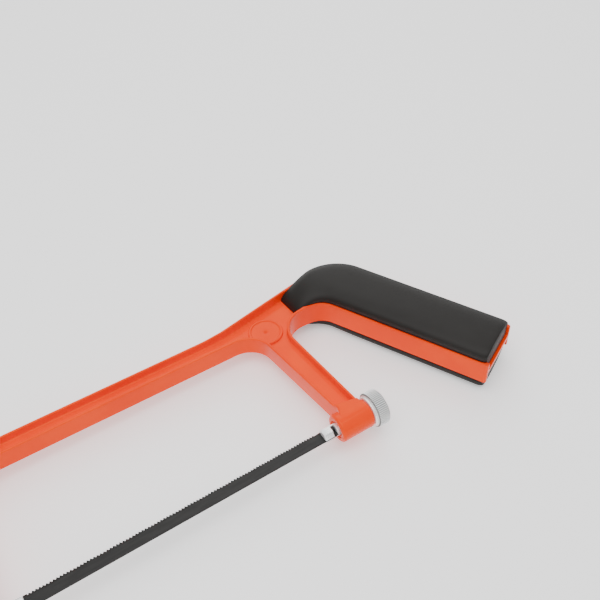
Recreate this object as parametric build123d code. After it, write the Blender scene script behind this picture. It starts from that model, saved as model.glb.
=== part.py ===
from build123d import *
import math
import os

# Junior hacksaw, lying on its side. Millimetres.
# Everything is drawn in the blade's own axes and moved to the row's origin at the end:
#   X runs along the blade towards the handle, 0 at the front face of the rear barrel
#   Y runs from the blade's centre line up to the beam
#   Z runs through the thickness, 0 in the middle plane
# The plan below holds the driving dimensions; what fits to something takes its size from it.

# ---- frame: a one-piece casting of I section ----
BEAM_THICK = 10.6        # across the beam and both legs
HANDLE_THICK = 13.12     # across the handle's flanges
WEB_THICK = 2.6          # the plate in the middle plane
BEAM_TOP = 80.85         # top edge of the straight beam, above the blade's centre line
BEAM_BOTTOM = BEAM_TOP - 9.95
OPENING_TOP = BEAM_TOP - 10.65   # top of the finger opening
RISE_ANGLE = 11.3        # slope of the top edge beyond the bend
RISE_START = -17.0       # where that slope leaves the beam
RISE_RADIUS = 100.0
HANDLE_ANGLE = 26.5      # the handle leans back by this much
CROTCH_X = 37.19         # where the handle's finger side meets the top of the finger opening
HANDLE_WIDTH = 32.4
HANDLE_END = 49.0        # how far the handle runs, along itself
HUMP_RADIUS = 25.0
LEG_FRONT_FOOT = 5.2     # X of the rear leg's front edge at the blade's centre line
LEG_FRONT_LEAN = 6.4
LEG_REAR_FOOT = 16.4
LEG_REAR_LEAN = 4.2
THROAT_RADIUS = 13.2
CROTCH_RADIUS = 13.0
BEND_RADIUS = 12.0
END_CORNER = 1.5
RIM = 1.35               # width of the rims round the recesses
RECESS_END = 10.0        # the leg's recesses stop this far above the blade's centre line
RECESS_END_SLOPE = 3.5   # length of the ramp up from the recess to the barrel's block
RECESS_END_LEAN = 12.0   # the ramp's edge is this far off square to the blade
FLANGE = 2.5             # thickness of the handle's flanges
THICKEN_ANGLE = 60.0     # direction in which the casting thickens towards the handle
THICKEN_FROM = 56.0
THICKEN_TO = 68.0
THICKEN_BLEND = 40.0
THICKEN_LIMIT = 20.0     # beyond this X the casting has the handle's full thickness

# ---- coin boss on the web at the junction ----
COIN_X = 3.5
COIN_Y = BEAM_TOP - 9.75
COIN_RADIUS = 9.1
COIN_RISE = 1.2          # above the web
COIN_LIP = 1.9           # width of the raised ring round the disc
COIN_DISH = 0.4

# ---- blade: 6 inch pin-end junior blade ----
BLADE_PITCH = 150.0      # pin centre to pin centre
BLADE_WIDTH = 6.35
BLADE_THICK = 0.65
TOOTH_PITCH = 1.41       # 18 teeth to the inch
TOOTH_DEPTH = 0.75
TOOTH_FRONT = 0.3        # share of the pitch taken by a tooth's steep side
TOOTH_FREE = 7.5         # plain length between a pin and the first tooth
PIN_RADIUS = 0.9
PIN_LENGTH = 5.6

# ---- blade holders, tension bolt and knob ----
HEX_FLATS = 6.0
HEX_REACH = 7.7          # how far the rear holder stands out of the barrel
HEX_IN_BARREL = 6.0
HEX_CHAMFER = 0.5
PIN_SETBACK = 2.02       # rear blade pin in front of the barrel's face
SLOT_WIDTH = 0.85
SLOT_DEPTH = 9.3
GROOVE_WIDTH = 2.13
GROOVE_SEAT_GAP = 0.04   # between a blade pin and the wall it pulls on
GROOVE_TOP = 1.2
RELEASE_TRAVEL = 2.0     # the tension bolt moves this far forward to free the blade
STUD_RADIUS = 2.5        # M5
RUN_GAP = 0.05           # running clearance, on the radius or the flat
BARREL_RADIUS = 7.0
BARREL_LENGTH = 17.8
BARREL_ROUND = 1.0
BARREL_SINK_RADIUS = 4.3
BARREL_SINK_DEPTH = 0.8
HEX_BORE_DEPTH = 8.5
WASHER_RADIUS = 7.5
WASHER_THICK = 1.05
KNOB_RADIUS = 8.94
KNOB_LENGTH = 6.6
KNOB_CHAMFER = 0.6
KNOB_FLUTES = 58
KNOB_FLUTE_DEPTH = 0.35
STUD_SHORT_OF_KNOB = 0.5

# ---- front leg ----
FRONT_REACH = 4.48       # front boss face ahead of the front blade pin
FRONT_BOSS_LENGTH = 12.5
FRONT_BOSS_RADIUS = 6.5
FRONT_LEG_INSET = 1.0    # the leg stands back from each end of its boss
FRONT_LEG_LEAN = 1.0
FRONT_CORNER = 15.0
FRONT_SHANK_RADIUS = 3.0
FRONT_SHANK_LENGTH = 10.0
ROLL_PIN_RADIUS = 1.25
ROLL_PIN_SETBACK = 6.0
ROLL_PIN_SHORT = 0.1     # the roll pin ends this far inside the boss

# ---- grip shells ----
SHELL_INSET = 0.6        # the shells stand this far inside the flanges' edges
SHELL_FIT = 0.2          # between a shell's skirt and the flanges it drops between
SHELL_SEAT = 0.05        # between a shell's skirt and the web
SHELL_END_GAP = 1.5      # the handle runs past the shells by this much
SHELL_NOSE = 23.8        # X of the shells' front edge, over the crotch
CROWN = 13.5             # highest point of a shell above the middle plane
CROWN_RADIUS = 32.0
CROWN_OFFSET = 15.2      # crown line, measured from the handle's finger side
CROWN_START = 11.4       # height of the crown line above the finger opening, at the nose
CROWN_HALF = 25.9        # half the width of the arched body that shapes a crown
NOSE_FOOT = 1.5          # the prow starts this far in front of the shell's edge
NOSE_SHOULDER = 5.6      # the prow has risen to NOSE_HEIGHT this far behind the shell's edge
NOSE_HEIGHT = 8.9
NOSE_RISE_END = 50.0     # X at which the nose reaches the crown's full height
NOSE_TAPER = 12.0        # length over which the shell's edge moves out from the rim's inside
SHELL_WALL = 1.8
SHELL_CORNER = 1.5
BOSS_RADIUS = 3.4
SCREW_RADIUS = 1.25
SCREW_HEAD_RADIUS = 2.6
SCREW_HEAD_THICK = 1.8
SCREW_HEAD_GAP = 0.2
SCREW_STATIONS = (-30.0, 5.0, 37.0)   # along the handle
SCREW_RECESS = 4.0       # depth of the head's seat under the crown
SCREW_TIP = 8.2          # height of the screws' tips above the middle plane
SCREW_HEAD_ROUND = 0.9
SCREW_DRIVE_RADIUS = 1.3 # cross recess
SCREW_DRIVE_WIDTH = 0.52
SCREW_DRIVE_DEPTH = 1.0
WEB_HOLE_GAP = 0.3

FAR = 300.0              # longer than the saw, for cutting tools
PAST = 1.0               # a cutting tool runs past what it cuts by this much


def handle_inner():
    """Distance from the origin to the handle's finger side, square to the handle."""
    lean = math.radians(HANDLE_ANGLE)
    return CROTCH_X * math.cos(lean) + OPENING_TOP * math.sin(lean)


def handle_outer():
    """The same distance to the handle's back."""
    return handle_inner() + HANDLE_WIDTH


def along_handle(across, along):
    """Plan point from its distance square to the handle and its distance down the handle."""
    lean = math.radians(HANDLE_ANGLE)
    return (
        across * math.cos(lean) + along * math.sin(lean),
        across * math.sin(lean) - along * math.cos(lean),
    )


def across_at_height(across, height):
    """X at which the line square-offset by across from the handle's axis is at this height."""
    lean = math.radians(HANDLE_ANGLE)
    return (across - height * math.sin(lean)) / math.cos(lean)


def leaning(foot, lean, height):
    """X of a leg edge at this height; the edge leans towards the front as it rises."""
    return foot - height * math.tan(math.radians(lean))


def rise_height(x):
    """Height of the sloping top edge."""
    return BEAM_TOP + (x - RISE_START) * math.tan(math.radians(RISE_ANGLE))


def hump_corner(inset=0.0):
    """Where the sloping top edge and the handle's back meet, both moved in by inset."""
    slope = math.tan(math.radians(RISE_ANGLE))
    lean = math.radians(HANDLE_ANGLE)
    drop = inset / math.cos(math.radians(RISE_ANGLE))
    base = BEAM_TOP - RISE_START * slope - drop
    x = (handle_outer() - inset - base * math.sin(lean)) / (math.cos(lean) + slope * math.sin(lean))
    return (x, base + slope * x)


def front_pin_x():
    return -PIN_SETBACK - BLADE_PITCH


def front_face_x():
    return front_pin_x() - FRONT_REACH


def plan(points, radii):
    """Flat region inside a closed outline with rounded corners."""
    return make_face(FilletPolyline(*points, radius=radii, close=True))


def prism(face, low, high):
    """Solid over a flat region, from one height to another."""
    return Pos(0, 0, low) * extrude(face, high - low)


def box_between(low, high):
    """Solid between two opposite corners."""
    size = [h - l for l, h in zip(low, high)]
    middle = [(h + l) / 2 for l, h in zip(low, high)]
    return Pos(*middle) * Box(*size)


def bar_x(radius, start, end):
    """Round bar along the blade's centre line."""
    return Pos(start, 0, 0) * Rot(0, 90, 0) * Cylinder(
        radius, end - start, align=(Align.CENTER, Align.CENTER, Align.MIN)
    )


def hex_bar_x(flats, start, end):
    """Hexagonal bar along the blade's centre line, with a flat to each side of the saw."""
    corner = flats / 2 / math.cos(math.pi / 6)
    section = Plane(origin=(start, 0, 0), x_dir=(0, 1, 0), z_dir=(1, 0, 0)) * RegularPolygon(corner, 6)
    return extrude(section, end - start)


def pin_z(x, y, radius, half_length):
    """Round pin across the saw, centred on the middle plane."""
    return Pos(x, y, 0) * Cylinder(radius, 2 * half_length)


def frame_outline():
    """Side view of the casting: front leg, beam, rear leg and handle."""
    face = front_face_x()
    inner = face - FRONT_LEG_INSET
    outer = face - FRONT_BOSS_LENGTH + FRONT_LEG_INSET
    points = [
        (leaning(outer, FRONT_LEG_LEAN, 0), 0),
        (leaning(outer, FRONT_LEG_LEAN, BEAM_TOP), BEAM_TOP),
        (RISE_START, BEAM_TOP),
        hump_corner(),
        along_handle(handle_outer(), HANDLE_END),
        along_handle(handle_inner(), HANDLE_END),
        (across_at_height(handle_inner(), OPENING_TOP), OPENING_TOP),
        (leaning(LEG_REAR_FOOT, LEG_REAR_LEAN, OPENING_TOP), OPENING_TOP),
        (LEG_REAR_FOOT, 0),
        (LEG_FRONT_FOOT, 0),
        (leaning(LEG_FRONT_FOOT, LEG_FRONT_LEAN, BEAM_BOTTOM), BEAM_BOTTOM),
        (leaning(inner, -FRONT_LEG_LEAN, BEAM_BOTTOM), BEAM_BOTTOM),
        (leaning(inner, -FRONT_LEG_LEAN, 0), 0),
    ]
    radii = [
        0,
        FRONT_CORNER,
        RISE_RADIUS,
        HUMP_RADIUS,
        END_CORNER,
        END_CORNER,
        BEND_RADIUS,
        CROTCH_RADIUS,
        0,
        0,
        THROAT_RADIUS,
        THROAT_RADIUS,
        0,
    ]
    return plan(points, radii)


def casting_height_cut():
    """What lies above the casting's top surface, which thickens from the beam to the handle."""
    turn = math.radians(THICKEN_ANGLE)
    slope_plane = Plane(
        origin=(0, 0, 0),
        x_dir=(math.cos(turn), math.sin(turn), 0),
        z_dir=(math.sin(turn), -math.cos(turn), 0),
    )
    points = [
        (-FAR, BEAM_THICK / 2),
        (THICKEN_FROM, BEAM_THICK / 2),
        (THICKEN_TO, HANDLE_THICK / 2),
        (FAR, HANDLE_THICK / 2),
        (FAR, HANDLE_THICK),
        (-FAR, HANDLE_THICK),
    ]
    radii = [0, THICKEN_BLEND, THICKEN_BLEND, 0, 0, 0]
    profile = slope_plane * plan(points, radii)
    wedge = extrude(profile, FAR, both=True)
    near = box_between((-FAR, -FAR, 0), (THICKEN_LIMIT, FAR, HANDLE_THICK))
    rest = box_between((THICKEN_LIMIT, -FAR, HANDLE_THICK / 2), (FAR, FAR, HANDLE_THICK))
    return (wedge & near) + rest


def recess_end_ramp(foot_x, top):
    """Block that fills the foot of a leg's recess, with a sloping upper end."""
    points = [
        (-BARREL_RADIUS, 0),
        (RECESS_END, 0),
        (RECESS_END, WEB_THICK / 2),
        (RECESS_END - RECESS_END_SLOPE, top),
        (-BARREL_RADIUS, top),
    ]
    section = Plane(origin=(foot_x, 0, 0), x_dir=(0, 1, 0), z_dir=(1, 0, 0)) * make_face(
        Polyline(*points, close=True)
    )
    block = extrude(section, BARREL_LENGTH, both=True)
    return Pos(foot_x, 0, 0) * Rot(0, 0, -RECESS_END_LEAN) * Pos(-foot_x, 0, 0) * block


def recess():
    """Hollow on the upper side of the casting, between its rims and down to the web."""
    depth = HANDLE_THICK
    whole = frame_outline()
    slim = prism(offset(whole, -RIM), WEB_THICK / 2, depth)
    slim &= box_between((-FAR, -FAR, 0), (SHELL_NOSE + FLANGE, FAR, depth))
    deep = prism(offset(whole, -FLANGE), WEB_THICK / 2, depth)
    near = handle_inner() + FLANGE
    far = handle_outer() - FLANGE
    past_end = HANDLE_END + PAST
    corners = [(near, 0), (far, 0), (far, past_end), (near, past_end)]
    open_end = make_face(Polyline(*[along_handle(*corner) for corner in corners], close=True))
    deep += prism(open_end, WEB_THICK / 2, depth)
    deep &= box_between((SHELL_NOSE, -FAR, 0), (FAR, FAR, depth))
    hollow = slim + deep
    hollow -= recess_end_ramp((LEG_FRONT_FOOT + LEG_REAR_FOOT) / 2, depth)
    front_middle = front_face_x() - FRONT_BOSS_LENGTH / 2
    reach = BARREL_LENGTH
    hollow -= box_between(
        (front_middle - reach, -FAR, 0), (front_middle + reach, RECESS_END, depth)
    )
    return hollow


def coin_boss():
    """Raised disc with a lip, standing on the web."""
    top = WEB_THICK / 2 + COIN_RISE
    disc = Pos(COIN_X, COIN_Y, 0) * Cylinder(COIN_RADIUS, 2 * top)
    dish = Pos(COIN_X, COIN_Y, top) * Cylinder(COIN_RADIUS - COIN_LIP, 2 * COIN_DISH)
    disc -= dish
    disc -= mirror(dish, Plane.XY)
    return disc & extrude(frame_outline(), top, both=True)


def barrel_body():
    """Barrel for the tension bolt, with the block that joins it to the leg."""
    tube = fillet(bar_x(BARREL_RADIUS, 0, BARREL_LENGTH).edges(), BARREL_ROUND)
    block = box_between((LEG_FRONT_FOOT, 0, -BARREL_RADIUS), (LEG_REAR_FOOT, RECESS_END, BARREL_RADIUS))
    block &= extrude(frame_outline(), BARREL_RADIUS, both=True)
    ramp = recess_end_ramp((LEG_FRONT_FOOT + LEG_REAR_FOOT) / 2, BARREL_RADIUS - RUN_GAP)
    block &= ramp + mirror(ramp, Plane.XY)
    return tube + block


def front_boss_body():
    face = front_face_x()
    boss = bar_x(FRONT_BOSS_RADIUS, face - FRONT_BOSS_LENGTH, face)
    return fillet(boss.edges(), BARREL_ROUND)


def screw_places():
    """Plan points of the grip screws, on the crown line of the handle."""
    return [along_handle(handle_inner() + CROWN_OFFSET, station) for station in SCREW_STATIONS]


def frame():
    """The casting: outline, thickness, recesses, coin boss, barrel and front boss."""
    body = extrude(frame_outline(), HANDLE_THICK / 2 + PAST, both=True)
    cut = casting_height_cut()
    hollow = recess()
    for tool in (cut, hollow):
        body -= tool
        body -= mirror(tool, Plane.XY)
    body += coin_boss()
    body += barrel_body()
    body += front_boss_body()
    body -= bar_x(BARREL_SINK_RADIUS, -PAST, BARREL_SINK_DEPTH)
    body -= hex_bar_x(HEX_FLATS + 2 * RUN_GAP, -PAST, HEX_BORE_DEPTH)
    body -= bar_x(STUD_RADIUS + RUN_GAP, 0, BARREL_LENGTH + PAST)
    face = front_face_x()
    body -= bar_x(FRONT_SHANK_RADIUS, face - FRONT_SHANK_LENGTH, face + PAST)
    body -= pin_z(face - ROLL_PIN_SETBACK, 0, ROLL_PIN_RADIUS, BARREL_RADIUS)
    for x, y in screw_places():
        body -= pin_z(x, y, SCREW_RADIUS + WEB_HOLE_GAP, WEB_THICK)
    return body


def blade():
    """Thin blade with round ends, a pin hole in each and teeth on the edge that faces the beam."""
    rear = -PIN_SETBACK
    front = front_pin_x()
    half = BLADE_WIDTH / 2
    strip = box_between((front, -half, -BLADE_THICK / 2), (rear, half, BLADE_THICK / 2))
    for x in (front, rear):
        strip += pin_z(x, 0, half, BLADE_THICK / 2)
    first = front + TOOTH_FREE
    count = int((rear - TOOTH_FREE - first) / TOOTH_PITCH)
    edge = []
    for i in range(count):
        x = first + i * TOOTH_PITCH
        edge.append((x, half - TOOTH_DEPTH))
        edge.append((x + TOOTH_PITCH * TOOTH_FRONT, half))
    edge.append((first + count * TOOTH_PITCH, half - TOOTH_DEPTH))
    edge.append((first + count * TOOTH_PITCH, half + TOOTH_DEPTH))
    edge.append((first, half + TOOTH_DEPTH))
    gullets = make_face(Polyline(*edge, close=True))
    strip -= prism(gullets, -BLADE_THICK, BLADE_THICK)
    for x in (front, rear):
        strip -= pin_z(x, 0, PIN_RADIUS, BLADE_THICK)
    return strip


def blade_pin(x):
    return pin_z(x, 0, PIN_RADIUS, PIN_LENGTH / 2)


def chamfered_hex(start, end, tip):
    """Hexagonal bar whose corners are turned off at the end nearest to tip."""
    corner = HEX_FLATS / 2 / math.cos(math.pi / 6)
    bar = hex_bar_x(HEX_FLATS, start, end)
    turned = bar_x(corner, start, end)
    ring = turned.edges().filter_by(GeomType.CIRCLE).sort_by_distance((tip, 0, 0))[0]
    return bar & chamfer(ring, HEX_CHAMFER)


def rear_blade_holder():
    """Slotted hexagon on a threaded stud: the tension bolt."""
    holder = chamfered_hex(-HEX_REACH, HEX_IN_BARREL, -HEX_REACH)
    stud_end = BARREL_LENGTH + WASHER_THICK + RUN_GAP + KNOB_LENGTH - STUD_SHORT_OF_KNOB
    holder += bar_x(STUD_RADIUS, HEX_IN_BARREL, stud_end)
    tall = HEX_FLATS
    holder -= box_between(
        (-HEX_REACH - PAST, -tall, -SLOT_WIDTH / 2), (-HEX_REACH + SLOT_DEPTH, tall, SLOT_WIDTH / 2)
    )
    seat = -PIN_SETBACK - PIN_RADIUS - GROOVE_SEAT_GAP
    holder -= box_between((seat, -tall, -tall), (seat + GROOVE_WIDTH, GROOVE_TOP, tall))
    return holder


def front_blade_holder():
    """The same hexagon on a plain shank, with a longer pin groove that lets the blade slip forward."""
    face = front_face_x()
    tip = front_pin_x() + HEX_REACH - PIN_SETBACK
    holder = chamfered_hex(face, tip, tip)
    holder += bar_x(FRONT_SHANK_RADIUS, face - FRONT_SHANK_LENGTH, face)
    tall = HEX_FLATS
    seat = front_pin_x() + PIN_RADIUS + GROOVE_SEAT_GAP
    groove = GROOVE_WIDTH + RELEASE_TRAVEL
    slot_end = front_pin_x() - BLADE_WIDTH / 2 - RELEASE_TRAVEL - GROOVE_SEAT_GAP
    holder -= box_between((slot_end, -tall, -SLOT_WIDTH / 2), (tip + PAST, tall, SLOT_WIDTH / 2))
    holder -= box_between((seat - groove, -tall, -tall), (seat, GROOVE_TOP, tall))
    holder -= pin_z(face - ROLL_PIN_SETBACK, 0, ROLL_PIN_RADIUS, BARREL_RADIUS)
    return holder


def front_holder_pin():
    return pin_z(front_face_x() - ROLL_PIN_SETBACK, 0, ROLL_PIN_RADIUS, FRONT_BOSS_RADIUS - ROLL_PIN_SHORT)


def knob_washer():
    start = BARREL_LENGTH
    ring = bar_x(WASHER_RADIUS, start, start + WASHER_THICK)
    return ring - bar_x(STUD_RADIUS + RUN_GAP, start - PAST, start + WASHER_THICK + PAST)


def tension_knob():
    """Knurled nut: straight flutes round a chamfered disc with a threaded bore."""
    start = BARREL_LENGTH + WASHER_THICK + RUN_GAP
    outline = []
    for i in range(KNOB_FLUTES):
        for step, radius in ((0, KNOB_RADIUS), (0.5, KNOB_RADIUS - KNOB_FLUTE_DEPTH)):
            angle = 2 * math.pi * (i + step) / KNOB_FLUTES
            outline.append((radius * math.cos(angle), radius * math.sin(angle)))
    star = make_face(Polyline(*outline, close=True))
    fluted = extrude(Plane(origin=(start, 0, 0), x_dir=(0, 1, 0), z_dir=(1, 0, 0)) * star, KNOB_LENGTH)
    disc = chamfer(bar_x(KNOB_RADIUS, start, start + KNOB_LENGTH).edges(), KNOB_CHAMFER)
    knob = fluted & disc
    return knob - bar_x(STUD_RADIUS + RUN_GAP, start - PAST, start + KNOB_LENGTH + PAST)


def shell_plan(inset):
    """Plan of a grip shell: the handle's outline moved in, cut off at its nose and at its end."""
    rise = math.radians(RISE_ANGLE)
    end = HANDLE_END - SHELL_END_GAP
    bottom = OPENING_TOP + inset
    nose_top = SHELL_NOSE - NOSE_TAPER * math.tan(math.radians(LEG_REAR_LEAN))
    full = SHELL_NOSE + NOSE_TAPER
    points = [
        (SHELL_NOSE, bottom),
        (nose_top, rise_height(nose_top) - (RIM + inset) / math.cos(rise)),
        (full, rise_height(full) - inset / math.cos(rise)),
        hump_corner(inset),
        along_handle(handle_outer() - inset, end),
        along_handle(handle_inner() + inset, end),
        (across_at_height(handle_inner() + inset, bottom), bottom),
    ]
    radii = [
        SHELL_CORNER,
        SHELL_CORNER,
        NOSE_TAPER,
        HUMP_RADIUS - inset,
        SHELL_CORNER,
        SHELL_CORNER,
        BEND_RADIUS + inset,
    ]
    return plan(points, radii)


def crown_body(drop):
    """Long arched body that limits a shell's height, following the handle round its bend."""
    slope = math.tan(math.radians(RISE_ANGLE)) / 2
    lean = math.radians(HANDLE_ANGLE)
    ridge = handle_inner() + CROWN_OFFSET
    start_y = OPENING_TOP + CROWN_START
    corner_x = (ridge - start_y * math.sin(lean)) / (math.cos(lean) + slope * math.sin(lean))
    corner = (corner_x, start_y + slope * corner_x)
    bend = BEND_RADIUS + CROWN_OFFSET
    end = along_handle(ridge, HANDLE_END + SHELL_END_GAP)
    path = FilletPolyline((0, start_y), corner, end, radius=bend)
    half = CROWN_HALF
    top = CROWN - drop
    edge = top - CROWN_RADIUS + math.sqrt(CROWN_RADIUS ** 2 - half ** 2)
    sides = Polyline((edge, half), (-CROWN, half), (-CROWN, -half), (edge, -half))
    roof = ThreePointArc((edge, -half), (top, 0), (edge, half))
    section = Plane(origin=path @ 0, z_dir=path % 0, x_dir=(0, 0, 1)) * make_face(sides + roof)
    return sweep(section, path=path)


def nose_body(drop):
    """Everything behind and below the rounded prow with which a shell starts."""
    floor = WEB_THICK / 2
    start = (SHELL_NOSE - NOSE_FOOT + drop, floor)
    shoulder = (SHELL_NOSE + NOSE_SHOULDER + drop, NOSE_HEIGHT - drop / 2)
    full = (NOSE_RISE_END, CROWN)
    prow = Spline(start, shoulder, full, tangents=[(0, 1), (1, 0)])
    rest = Polyline(full, (FAR, CROWN), (FAR, 0), (start[0], 0), start)
    return extrude(Plane.XZ * make_face(prow + rest), FAR, both=True)


def shell_body():
    """Upper grip shell before its screw holes: a crowned skin with a skirt and screw bosses."""
    seat = HANDLE_THICK / 2
    floor = WEB_THICK / 2 + SHELL_SEAT
    skirt_inset = FLANGE + SHELL_FIT
    skin = prism(shell_plan(SHELL_INSET), seat, 2 * CROWN)
    skirt = prism(shell_plan(skirt_inset), floor, 2 * seat)
    limits = crown_body(0) & nose_body(0)
    body = (skin + skirt) & limits
    inside = prism(shell_plan(skirt_inset + SHELL_WALL), 0, 2 * CROWN)
    body -= inside & crown_body(SHELL_WALL) & nose_body(SHELL_WALL)
    for x, y in screw_places():
        body += Pos(x, y, floor) * Cylinder(
            BOSS_RADIUS, CROWN - floor, align=(Align.CENTER, Align.CENTER, Align.MIN)
        ) & crown_body(SHELL_WALL / 2)
    return body


def left_grip_shell():
    """Shell on the upper side; the screws bite in its bosses."""
    body = shell_body()
    for x, y in screw_places():
        body -= Pos(x, y, 0) * Cylinder(SCREW_RADIUS, 2 * SCREW_TIP + SHELL_SEAT)
    return body


def right_grip_shell():
    """Shell on the lower side, with a counterbored hole for each screw."""
    body = shell_body()
    seat = CROWN - SCREW_RECESS
    for x, y in screw_places():
        body -= Pos(x, y, 0) * Cylinder(SCREW_RADIUS + RUN_GAP, 4 * CROWN)
        body -= Pos(x, y, seat) * Cylinder(
            SCREW_HEAD_RADIUS + SCREW_HEAD_GAP, CROWN, align=(Align.CENTER, Align.CENTER, Align.MIN)
        )
    return mirror(body, Plane.XY)


def grip_screw(x, y):
    """Pan-head screw with a cross recess, driven in from the lower side."""
    seat = -(CROWN - SCREW_RECESS)
    shank = Cylinder(SCREW_RADIUS, SCREW_TIP - seat, align=(Align.CENTER, Align.CENTER, Align.MIN))
    head = Cylinder(SCREW_HEAD_RADIUS, SCREW_HEAD_THICK, align=(Align.CENTER, Align.CENTER, Align.MAX))
    head = fillet(head.edges().sort_by(Axis.Z)[0], SCREW_HEAD_ROUND)
    screw = shank + head
    for turn in (0, 90):
        arm = Box(2 * SCREW_DRIVE_RADIUS, SCREW_DRIVE_WIDTH, 2 * SCREW_DRIVE_DEPTH)
        screw -= Pos(0, 0, -SCREW_HEAD_THICK) * Rot(0, 0, turn) * arm
    return Pos(x, y, seat) * screw


def main():
    os.makedirs("parts", exist_ok=True)
    nodes = {
        "frame": frame(),
        "left_grip_shell": left_grip_shell(),
        "right_grip_shell": right_grip_shell(),
        "grip_screws": Compound([grip_screw(x, y) for x, y in screw_places()]),
        "blade": blade(),
        "rear_blade_pin": blade_pin(-PIN_SETBACK),
        "front_blade_pin": blade_pin(front_pin_x()),
        "rear_blade_holder": rear_blade_holder(),
        "front_blade_holder": front_blade_holder(),
        "front_holder_pin": front_holder_pin(),
        "knob_washer": knob_washer(),
        "tension_knob": tension_knob(),
    }
    whole = Compound(list(nodes.values())).bounding_box()
    origin = Pos(-whole.center().X, -whole.center().Y, -whole.min.Z)
    print("origin of the blade's axes in the row:", origin.position)
    for name, solid in nodes.items():
        export_step(origin * solid, f"parts/{name}.step")


main()
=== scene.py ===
# %% [markdown]
# # A junior hacksaw, lying on its side
# The solid model comes in as a fixed frame: it says where every piece is and how it moves.
# Each piece is then built again as a fine surface, in millimetres, and set over its solid.

# %% Load the frame
import math
from contextlib import contextmanager

import bmesh
import bpy
import numpy as np
from mathutils import Matrix, Vector


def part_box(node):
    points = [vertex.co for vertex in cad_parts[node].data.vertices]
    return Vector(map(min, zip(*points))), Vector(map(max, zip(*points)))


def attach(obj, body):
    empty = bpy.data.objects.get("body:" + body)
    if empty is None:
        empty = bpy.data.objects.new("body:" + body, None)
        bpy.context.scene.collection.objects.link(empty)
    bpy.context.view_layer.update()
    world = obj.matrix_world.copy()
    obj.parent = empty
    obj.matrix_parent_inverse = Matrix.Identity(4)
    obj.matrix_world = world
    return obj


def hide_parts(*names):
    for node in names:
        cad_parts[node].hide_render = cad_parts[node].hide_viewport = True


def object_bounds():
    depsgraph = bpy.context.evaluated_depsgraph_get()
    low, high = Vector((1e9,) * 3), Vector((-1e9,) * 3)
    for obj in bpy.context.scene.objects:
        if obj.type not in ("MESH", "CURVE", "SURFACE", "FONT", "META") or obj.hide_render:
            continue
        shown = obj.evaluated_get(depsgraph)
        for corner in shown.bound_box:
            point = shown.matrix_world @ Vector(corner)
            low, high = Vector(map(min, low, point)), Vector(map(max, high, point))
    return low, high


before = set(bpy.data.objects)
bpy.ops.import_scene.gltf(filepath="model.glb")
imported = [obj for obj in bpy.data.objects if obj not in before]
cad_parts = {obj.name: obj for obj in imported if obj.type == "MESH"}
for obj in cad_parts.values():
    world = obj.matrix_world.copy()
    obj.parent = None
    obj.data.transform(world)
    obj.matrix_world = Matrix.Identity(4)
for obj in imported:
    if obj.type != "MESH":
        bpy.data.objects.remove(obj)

cad_low, cad_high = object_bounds()
print("solid model, mm:", [round(1000 * v, 1) for v in (cad_high - cad_low)])

# %% [markdown]
# ## Where things are
# The saw is easiest to describe along its blade: X towards the handle, Y up to the beam and
# Z through the thickness, with zero at the front of the barrel. The rear blade pin stands
# 2.02 mm in front of that face, so its box in the solid model gives the way back.

# %% The blade's own axes
MM = 0.001
PIN_SETBACK = 2.02
pin_low, pin_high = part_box("rear_blade_pin")
ORIGIN = np.array((pin_low + pin_high) / 2) + (PIN_SETBACK * MM, 0, 0)
print("blade's zero in the row, mm:", (ORIGIN * 1000).round(3))


def in_row(points):
    """Millimetres along the blade's axes, turned into metres in the row's frame."""
    return np.asarray(points, float) * MM + ORIGIN


# %% [markdown]
# ## The camera
# The saw is seen from above its blade side, a little in front, with a slightly long lens.
# The camera comes first, because every later choice is judged through it.

# %% Camera
CAMERA_AT = (-116.1, -177.2, 288.9)
CAMERA_RIGHT = (0.83280, -0.55328, -0.01828)
CAMERA_UP = (0.39223, 0.56643, 0.72479)
CAMERA_LOOKS = (0.39065, 0.61077, -0.68873)
LENS = 45.44
SHIFT = (-0.0463, -0.0116)

camera_data = bpy.data.cameras.new("camera")
camera_data.lens = LENS
camera_data.shift_x, camera_data.shift_y = SHIFT
camera_data.clip_start, camera_data.clip_end = 0.01, 50
camera = bpy.data.objects.new("camera", camera_data)
turn = Matrix((CAMERA_RIGHT, CAMERA_UP, [-v for v in CAMERA_LOOKS])).transposed()
camera.matrix_world = Matrix.Translation(in_row(CAMERA_AT)) @ turn.to_4x4()
bpy.context.scene.collection.objects.link(camera)
bpy.context.scene.camera = camera
print("camera at, mm:", [round(1000 * v) for v in camera.location])

# %% [markdown]
# ## Surfaces from arrays
# A surface here is a grid of points: rows follow one parameter and columns the other. The
# points are worked out as whole arrays, and the faces join each point to its neighbours.

# %% Grids and meshes


def grid(rows, columns, wrap_rows=False, wrap_columns=False):
    """Faces of a grid of points numbered by rows; wrapping joins its last line to its first."""
    r = np.arange(rows if wrap_rows else rows - 1)[:, None]
    c = np.arange(columns if wrap_columns else columns - 1)[None, :]
    r2, c2 = (r + 1) % rows, (c + 1) % columns
    quads = np.stack([r * columns + c, r * columns + c2, r2 * columns + c2, r2 * columns + c], -1)
    return quads.reshape(-1, 4).tolist()


MERGE = 1e-7


@contextmanager
def editing(mesh):
    """Opens a mesh for editing and writes the result back."""
    edit = bmesh.new()
    edit.from_mesh(mesh)
    yield edit
    edit.to_mesh(mesh)
    edit.free()


def mesh_from(name, parts):
    """One mesh from (points in mm, faces) parts."""
    points, faces, start = [], [], 0
    for part_points, part_faces in parts:
        points.append(part_points)
        faces += [[i + start for i in face] for face in part_faces]
        start += len(part_points)
    mesh = bpy.data.meshes.new(name)
    mesh.from_pydata(in_row(np.concatenate(points)).tolist(), [], faces)
    return mesh


def closed_loft(rows, columns):
    """Faces of a grid whose rows are closed sections, with a face over each end."""
    ends = [range(columns), range((rows - 1) * columns, rows * columns)]
    return grid(rows, columns, wrap_columns=True) + [list(end) for end in ends]


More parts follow.
